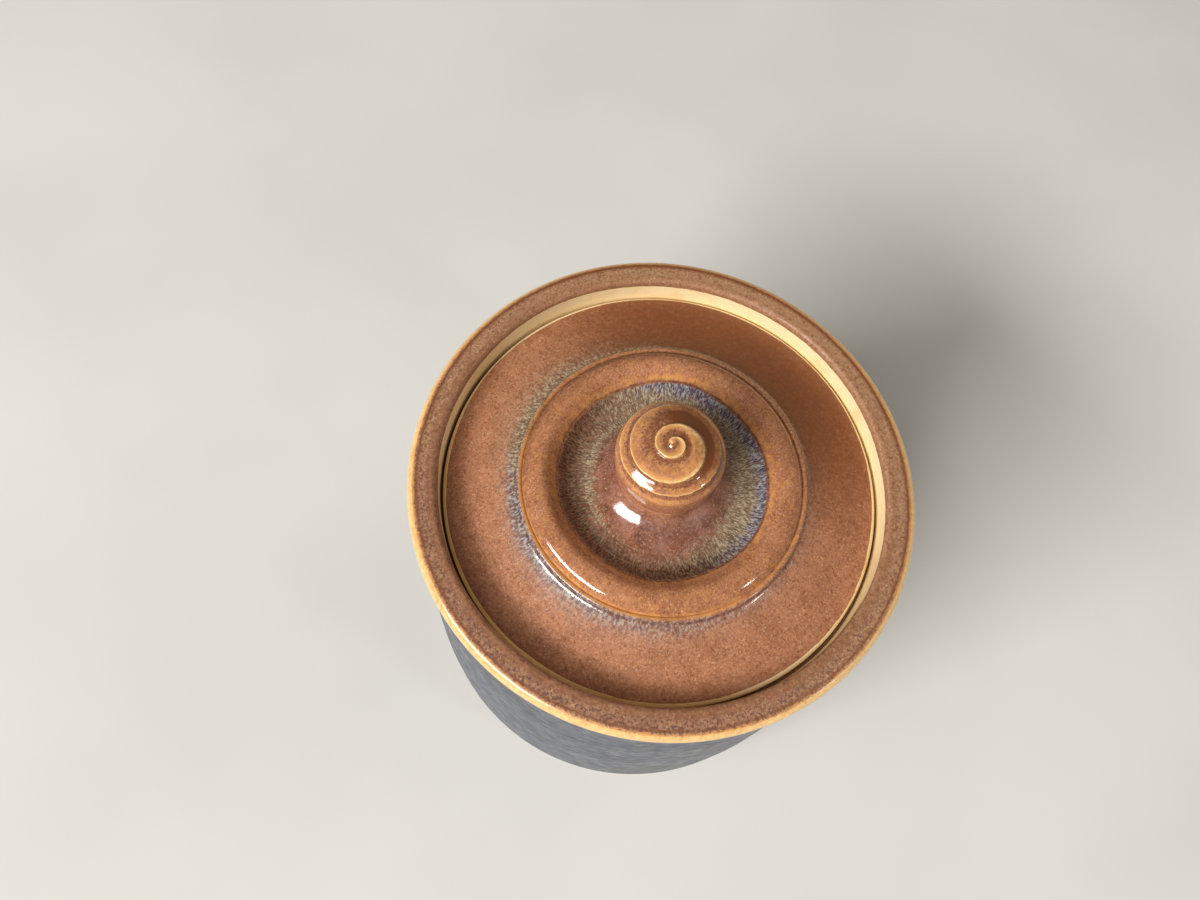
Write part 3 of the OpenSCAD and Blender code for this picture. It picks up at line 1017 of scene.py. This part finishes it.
def glaze_surface(nodes, bare, smooth, rough):
    """Roughness and relief of a glaze, and of the clay where it is bare."""
    place = nodes.place()
    patches = nodes.noise(place, scale=200, detail=3.0)
    ripples = nodes.noise(place, scale=240, detail=2.0)
    grains = nodes.noise(place, scale=1500, detail=2.0, roughness=0.6)
    satin = nodes.step(nodes.mark("satin"), 0.0, 1.0, end=0.3)
    clay = nodes.step(bare, 0.0, 1.0, end=0.3)
    rippled = nodes.step(nodes.mark("slate"), 0.0, 1.0, start=0.5, end=0.12)
    grainy = nodes.step(nodes.mark("slick"), 0.0, 1.0, start=0.6, end=0.1)
    glazed = nodes.maths("ADD", nodes.step(patches, 0.3, 0.7, start=smooth, end=rough), satin)
    skin = nodes.bump(ripples, SKIN_RELIEF, rippled)
    return nodes.maths("ADD", glazed, clay), nodes.bump(grains, GRAIN_RELIEF, grainy, skin)


def amber_glaze():
    nodes = Nodes("amber_glaze")
    bare = bare_share(nodes)
    roughness, relief = glaze_surface(nodes, bare, smooth=0.05, rough=0.14)
    colour = nodes.mix(bare, amber_colour(nodes), clay_colour(nodes))
    return nodes.finish({"Base Color": colour, "Roughness": roughness, "Normal": relief, "IOR": GLAZE_IOR})


def pot_glaze():
    nodes = Nodes("pot_glaze")
    bare = bare_share(nodes)
    slate = ragged(nodes, "slate", scale=250, reach=0.3, low=0.3, high=0.7)
    roughness, relief = glaze_surface(nodes, bare, smooth=0.14, rough=0.28)
    glaze = nodes.mix(slate, amber_colour(nodes), slate_colour(nodes))
    colour = nodes.mix(bare, glaze, clay_colour(nodes))
    return nodes.finish({"Base Color": colour, "Roughness": roughness, "Normal": relief, "IOR": POT_IOR})


def floor_paper():
    nodes = Nodes("floor_paper")
    clouds = nodes.noise(nodes.place(), scale=6, detail=3.0)
    colour = nodes.mix(nodes.step(clouds, 0.3, 0.7), PAPER, PAPER_PALE)
    return nodes.finish({"Base Color": colour, "Roughness": PAPER_ROUGHNESS})


# Camera, lights and stage. The camera was fitted to the rim, the lid and the knob in the photograph.

RIM_CENTRE = Vector((-0.35 * MM, 0.65 * MM, 178.5 * MM))
CAMERA_REACH = Vector((-0.2567, -1.2333, 3.1308)) * RIM_R
CAMERA_TILT = 67.38
CAMERA_ROLL = -7.39
CAMERA_CLIP = 10 * MM
IMAGE_WIDTH = 1200
FOCAL_PIXELS = 850
SENSOR = 36
FLOOR_REACH = 6
WORLD_COLOUR = (1, 0.86, 0.7, 1)
WORLD_STRENGTH = 0.17
KEY_COLOUR = (1, 0.98, 0.95)
SECOND_COLOUR = (0.95, 0.98, 1)
SKY_COLOUR = (1, 0.97, 0.92)
FILL_COLOUR = (1, 0.92, 0.82)


def make_camera():
    """The photograph's viewpoint: steeply down on the lid, a little from the left."""
    tilt, roll = math.radians(CAMERA_TILT), math.radians(CAMERA_ROLL)
    forward = Vector((0, math.cos(tilt), -math.sin(tilt)))
    right = Vector((1, 0, 0))
    down = forward.cross(right)
    across = math.cos(roll) * right + math.sin(roll) * down
    upward = -(math.cos(roll) * down - math.sin(roll) * right)
    optics = bpy.data.cameras.new("camera")
    optics.sensor_fit = "HORIZONTAL"
    optics.sensor_width = SENSOR
    optics.lens = FOCAL_PIXELS * SENSOR / IMAGE_WIDTH
    optics.clip_start = CAMERA_CLIP
    camera = bpy.data.objects.new("camera", optics)
    turn = Matrix((across, upward, -forward)).transposed().to_4x4()
    camera.matrix_world = Matrix.Translation(RIM_CENTRE + CAMERA_REACH) @ turn
    bpy.context.scene.collection.objects.link(camera)
    bpy.context.scene.camera = camera


def make_lamp(name, bearing, height, distance, size, power, colour):
    """A soft box that faces the lid from a bearing and a height, both in degrees."""
    light = bpy.data.lights.new(name, "AREA")
    light.shape = "RECTANGLE"
    light.size, light.size_y = size
    light.energy = power
    light.color = colour
    lamp = bpy.data.objects.new(name, light)
    turn, rise = math.radians(bearing), math.radians(height)
    reach = Vector((math.cos(turn) * math.cos(rise), math.sin(turn) * math.cos(rise), math.sin(rise)))
    lamp.location = RIM_CENTRE + reach * distance
    lamp.rotation_euler = (-reach).to_track_quat("-Z", "Y").to_euler()
    bpy.context.scene.collection.objects.link(lamp)
    return lamp


def make_lights():
    """A large key light, a small second one, and two soft ones that don't show in the glaze."""
    make_lamp("key", -135, 33.5, distance=4.8, size=(3, 1.24), power=280, colour=KEY_COLOUR)
    make_lamp("second", -28, 28, distance=1.4, size=(0.09, 0.25), power=1.5, colour=SECOND_COLOUR)
    sky = make_lamp("sky", -130, 54, distance=1.8, size=(1.2, 0.8), power=10, colour=SKY_COLOUR)
    fill = make_lamp("fill", 25, 14, distance=4.5, size=(3, 2.1), power=46, colour=FILL_COLOUR)
    for lamp in (sky, fill):
        lamp.visible_glossy = False


def make_world():
    world = bpy.data.worlds.new("studio")
    world.use_nodes = True
    background = world.node_tree.nodes["Background"]
    background.inputs["Color"].default_value = WORLD_COLOUR
    background.inputs["Strength"].default_value = WORLD_STRENGTH
    bpy.context.scene.world = world


def make_floor():
    low, high = -FLOOR_REACH, FLOOR_REACH
    mesh = bpy.data.meshes.new("floor")
    mesh.from_pydata([(low, low, 0), (high, low, 0), (high, high, 0), (low, high, 0)], [], [(0, 1, 2, 3)])
    mesh.materials.append(floor_paper())
    floor = bpy.data.objects.new("floor", mesh)
    bpy.context.scene.collection.objects.link(floor)


def dress(piece, body, node, material):
    piece.data.materials.append(material)
    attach(piece, body)
    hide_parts(node)


bpy.context.scene.view_settings.view_transform = "Standard"
amber = amber_glaze()
dress(make_jar(), "jar", "jar", pot_glaze())
dress(make_lid(), "lid", "lid", amber)
dress(make_knob(), "lid", "knob", amber)
make_floor()
make_world()
make_lights()
make_camera()
